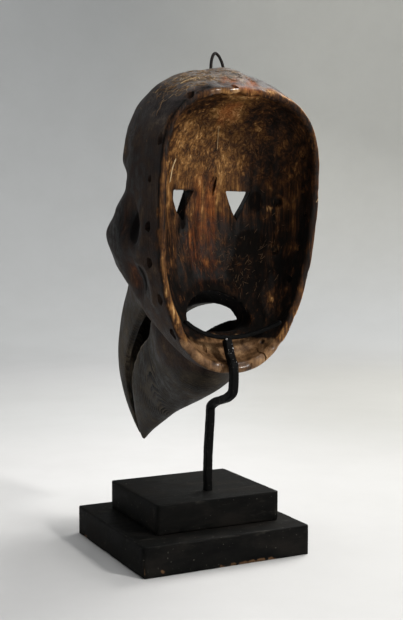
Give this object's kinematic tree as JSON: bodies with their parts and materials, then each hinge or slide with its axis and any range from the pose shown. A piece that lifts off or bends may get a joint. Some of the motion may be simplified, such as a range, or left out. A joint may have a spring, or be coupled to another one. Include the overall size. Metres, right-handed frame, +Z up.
{
  "type": "beaked mask",
  "caption": "Carved wooden face mask with a large hooked, open beak, hollow behind, held upright by a bent iron rod and cradle on stacked black wooden blocks.",
  "frame": {"origin": "middle of the lower block's underside, on the surface that the stand rests on", "axes": "+Z up, -Y the way the mask looks, +X the wearer's left"},
  "size_m": [0.1754, 0.2588, 0.4487],
  "materials": {
    "black_paint": "matte black paint on wood, chipped at the edges",
    "black_iron": "blackened iron, dull",
    "carved_wood": "old hand-carved wood, dark and dry, worn at the rim",
    "wire_iron": "dark iron wire"
  },
  "bodies": {
    "root": {"lower_block": "black_paint", "upper_block": "black_paint", "support_bar": "black_iron", "cradle_arm": "black_iron", "mask": "carved_wood", "hanging_wire": "wire_iron"}
  },
  "joints": []
}
